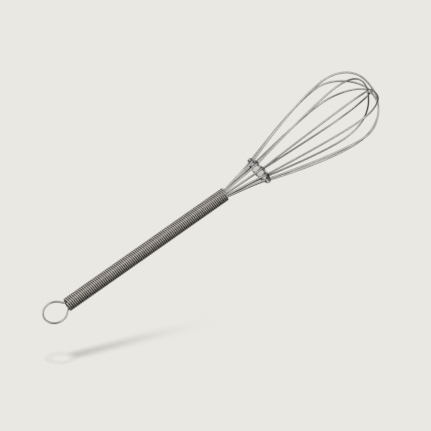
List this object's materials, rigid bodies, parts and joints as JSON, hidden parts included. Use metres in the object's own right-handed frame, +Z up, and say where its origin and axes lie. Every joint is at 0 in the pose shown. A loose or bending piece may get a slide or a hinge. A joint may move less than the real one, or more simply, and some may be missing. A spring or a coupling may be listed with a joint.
{
  "type": "balloon whisk",
  "caption": "Small steel balloon whisk: a close-wound coil handle, a round hanging eye, looped whisk wires and a holed spreader disc.",
  "frame": {"origin": "centre of the hanging eye, from which the whisk hangs", "axes": "+Z up, parallel to the handle's centre line, from the balloon towards the eye; +Y square to the eye's plane; +X in the eye's plane"},
  "size_m": [0.0383, 0.0382, 0.2033],
  "materials": {
    "coil_steel": "drawn stainless steel wire, close wound, bright with a soft grain along the wire",
    "wire_steel": "drawn stainless steel wire, bright, light drawing lines along the wire",
    "disc_steel": "stamped stainless steel sheet, polished"
  },
  "bodies": {
    "root": {"grip_coil": "coil_steel", "hanging_loop": "wire_steel", "balloon_wire_1": "wire_steel", "balloon_wire_2": "wire_steel", "balloon_wire_3": "wire_steel", "balloon_wire_4": "wire_steel", "balloon_wire_5": "wire_steel", "spreader_disc": "disc_steel"}
  },
  "joints": []
}
